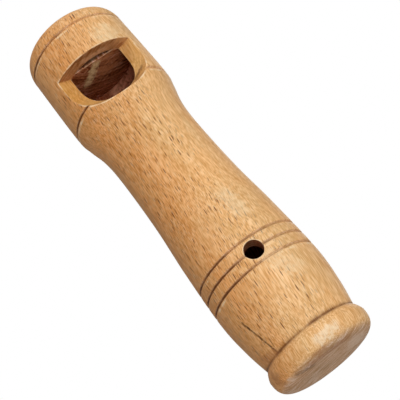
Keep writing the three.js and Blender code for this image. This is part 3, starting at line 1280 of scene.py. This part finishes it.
MILLED = BeechFinish(
    "milled_beech",
    Shades(
        pale=(0.80, 0.44, 0.15), dark=(0.62, 0.29, 0.085), red=(0.74, 0.37, 0.10),
        end=(0.44, 0.18, 0.07), fleck=(0.2, 0.08, 0.025), oil_and_shade=(0.2, 0.08, 0.03),
        palest=(0.92, 0.66, 0.40),
    ),
    Figure(rings=0.6, fibre=0.25, flecks=0.4), roughness=0.55, relief=0.35,
    streaks=(
        Streak((9.8, -9.0, 89.6), (4.8, -10.4, 86.8), 0.8, (0.17, 0.06, 0.02), 0.75),
        Streak((9.4, -8.2, 92.4), (8.4, -8.4, 90.0), 0.5, (0.30, 0.11, 0.03), 0.6),
        Streak((-5.9, -13.4, 99.3), (1.4, -13.9, 99.3), 0.7, (0.28, 0.09, 0.02), 0.65),
        Streak((-3.6, -11.9, 99.3), (4.8, -11.3, 99.3), 0.8, (0.78, 0.40, 0.20), 0.8),
        Streak((7.6, -11.8, 99.3), (10.8, -9.4, 99.3), 1.1, (0.80, 0.42, 0.16), 0.65),
    ),
)
BORED = BeechFinish(
    "bored_beech",
    Shades(
        pale=(0.46, 0.16, 0.07), dark=(0.30, 0.09, 0.035), red=(0.38, 0.10, 0.04),
        end=(0.2, 0.08, 0.03), fleck=(0.08, 0.03, 0.012), oil_and_shade=(0.1, 0.04, 0.015),
        palest=(0.50, 0.25, 0.11),
    ),
    Figure(rings=0.5, fibre=0.5, flecks=0.5, marks=0.25, palest=0.25),
    marks_centre=(0, 0, -3000), marks_spacing=0.5, roughness=0.65, relief=0.5,
    # Painted light: a pale patch on the far bore wall where light through the window falls.
    streaks=(Streak((2.0, 10.6, 100.3), (10.0, 4.0, 98.8), 2.2, (0.98, 0.46, 0.27), 0.85),),
)
SAWN = BeechFinish(
    # Its own reddish colour, darkened further as painted shade deep in the bore.
    "sawn_beech",
    Shades(
        pale=(0.60, 0.26, 0.11), dark=(0.34, 0.12, 0.045), red=(0.50, 0.17, 0.08),
        end=(0.38, 0.125, 0.042), fleck=(0.1, 0.04, 0.015), oil_and_shade=(0.1, 0.04, 0.015),
        palest=(0.85, 0.58, 0.36),
    ),
    Figure(rings=0.6, fibre=0.5, flecks=0.3, marks=0.95, palest=0.5),
    marks_centre=(14, -24, 99), marks_spacing=0.85, roughness=0.7, relief=0.5,
    streaks=(
        # Painted light: paler patches in the middle of the block's face and along the flat, where light
        # falls through the window.
        Streak((1.6, -4.6, 99.3), (2.6, 0.6, 99.6), 2.6, (0.62, 0.23, 0.09), 0.75),
        Streak((1.5, -7.6, 99.3), (6.0, -7.4, 99.3), 1.0, (0.62, 0.25, 0.10), 0.75),
        Streak((0.7, -8.2, 99.3), (-4.0, 1.2, 99.8), 1.4, (1.0, 0.68, 0.34)),
    ),
)
TRIMMED = BeechFinish(
    "trimmed_beech",
    Shades(
        pale=(0.74, 0.42, 0.19), dark=(0.58, 0.29, 0.11), red=(0.66, 0.31, 0.12),
        end=(0.58, 0.33, 0.18), fleck=(0.2, 0.08, 0.03), oil_and_shade=(0.2, 0.08, 0.03),
        palest=(0.85, 0.60, 0.38),
    ),
    Figure(rings=0.6, fibre=0.3, bands=0.065, flecks=0.4), roughness=0.65, relief=0.4,
)


# Studio


@dataclass(frozen=True)
class Lamp:
    """A soft square lamp. Lengths in metres, power in watts and spread in degrees."""

    name: str
    place: Triple
    side: float
    power: float
    spread: float = 180.0

    def build(self, target: Vector) -> None:
        """Hangs the lamp and turns it to the target."""
        data = bpy.data.lights.new(self.name, "AREA")
        data.shape, data.size, data.energy = "SQUARE", self.side, self.power
        data.spread = math.radians(self.spread)
        lamp = linked(self.name, data)
        lamp.location = self.place
        lamp.rotation_euler = (target - Vector(self.place)).to_track_quat("-Z", "Y").to_euler()
        lamp.visible_camera = False


@dataclass(frozen=True)
class Studio:
    """Pale floor, white surround, soft lamps and the photograph's camera.

    eye and look are the camera's place and the way it looks. Lengths are in metres, the lens
    in millimetres and the roll in radians.
    """

    ambient: float = 0.33
    middle: Triple = (0, 0, 0.057)
    floor_reach: float = 3.0
    floor_fade: tuple[float, float] = (0.12, 0.75)
    lamps: tuple[Lamp, ...] = (
        Lamp("key", (0.150, -0.785, 0.100), 0.40, 0.55, 80.0),
        Lamp("low", (0.0, -0.60, -0.40), 0.30, 1.3),
        Lamp("top", (0.10, -0.30, 0.85), 0.50, 1.6),
        Lamp("back", (0.30, 0.70, 0.30), 0.60, 1.6),
    )
    eye: Triple = (-0.0469, -0.2415, -0.0512)
    look: Triple = (0.17683, 0.90368, 0.38999)
    roll: float = -0.68289
    lens: float = 94.364

    def camera(self) -> None:
        """Sets the camera that the photograph was taken with."""
        data = bpy.data.cameras.new("camera")
        data.lens, data.sensor_width, data.clip_start = self.lens, 36.0, 0.01
        camera = linked("camera", data)
        aim = Vector(self.look).to_track_quat("-Z", "Y").to_matrix().to_4x4()
        camera.matrix_world = Matrix.Translation(self.eye) @ aim @ Matrix.Rotation(self.roll, 4, "Z")
        bpy.context.scene.camera = camera

    def floor(self) -> None:
        """Lays a pale floor that only a camera above it sees and that fades into the white."""
        reach = self.floor_reach
        mesh = bpy.data.meshes.new("floor")
        corners = [(-reach, -reach, 0), (reach, -reach, 0), (reach, reach, 0), (-reach, reach, 0)]
        mesh.from_pydata(corners, [], [(0, 1, 2, 3)])
        floor = linked("floor", mesh)
        pale = bpy.data.materials.new("pale_floor")
        graph = Graph(emptied(pale))
        paint = graph.node(
            "BsdfPrincipled",
            {"Base Color": (0.86, 0.86, 0.86), "Roughness": 0.9, "Specular IOR Level": 0.0,
             "Emission Color": (1, 1, 1), "Emission Strength": 0.2},
        )
        clear = graph.node("BsdfTransparent")
        below = graph.node("NewGeometry").outputs["Backfacing"]
        seen = graph.node("LightPath").outputs["Is Camera Ray"]
        away = graph.measure("LENGTH", graph.node("TexCoord").outputs["Object"])
        near = graph.ramp(away, *self.floor_fade, 1.0, 0.0)
        share = graph.times(seen, graph.math("SUBTRACT", 1.0, below), near)
        mixed = graph.node("MixShader", {0: share, 1: clear.outputs[0], 2: paint.outputs[0]})
        graph.node("OutputMaterial", {"Surface": mixed.outputs[0]})
        mesh.materials.append(pale)

    def surround(self) -> None:
        """White world: at full strength for the camera, plain as light."""
        world = bpy.data.worlds.new("surround")
        bpy.context.scene.world = world
        graph = Graph(emptied(world))
        path = graph.node("LightPath").outputs
        seen = graph.math("MAXIMUM", path["Is Camera Ray"], path["Is Transmission Ray"])
        strength = graph.linear(seen, 1.0 - self.ambient, self.ambient)
        light = graph.node("Background", {"Color": (1, 1, 1), "Strength": strength})
        graph.node("OutputWorld", {"Surface": light.outputs[0]})

    def build(self) -> None:
        """Sets up the whole studio."""
        self.surround()
        self.floor()
        for lamp in self.lamps:
            lamp.build(Vector(self.middle))
        self.camera()
        bpy.context.scene.view_settings.view_transform = "Standard"


def dress(piece: bpy.types.Object, node: str, finishes: Sequence[bpy.types.Material]) -> None:
    """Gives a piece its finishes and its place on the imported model.

    Args:
        piece: The piece.
        node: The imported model's node that it stands for.
        finishes: One material for each of the piece's cuts.
    """
    for finish in finishes:
        piece.data.materials.append(finish)
    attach(piece, "root")
    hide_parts(node)
    LOG.info("%s stands for %s with %d faces", piece.name, node, len(piece.data.polygons))


def main() -> None:
    """Builds the call and its studio."""
    logging.basicConfig(level=logging.INFO, format="%(message)s")
    groups = {
        "grain": grain_group(), "flecks": fleck_group(), "wear_and_painted_light": wear_and_painted_light_group(), "tool": tool_group()
    }
    finishes = {finish.name: finish.material(groups) for finish in (TURNED, MILLED, BORED, SAWN, TRIMMED)}
    body = TurnedBody().build()
    dress(body, "turned_body", [finishes[kind.name] for kind in (TURNED, MILLED, BORED)])
    block = FippleBlock().build()
    dress(block, "fipple_block", [finishes[kind.name] for kind in (SAWN, TRIMMED)])
    Studio().build()


if __name__ == "__main__":
    main()
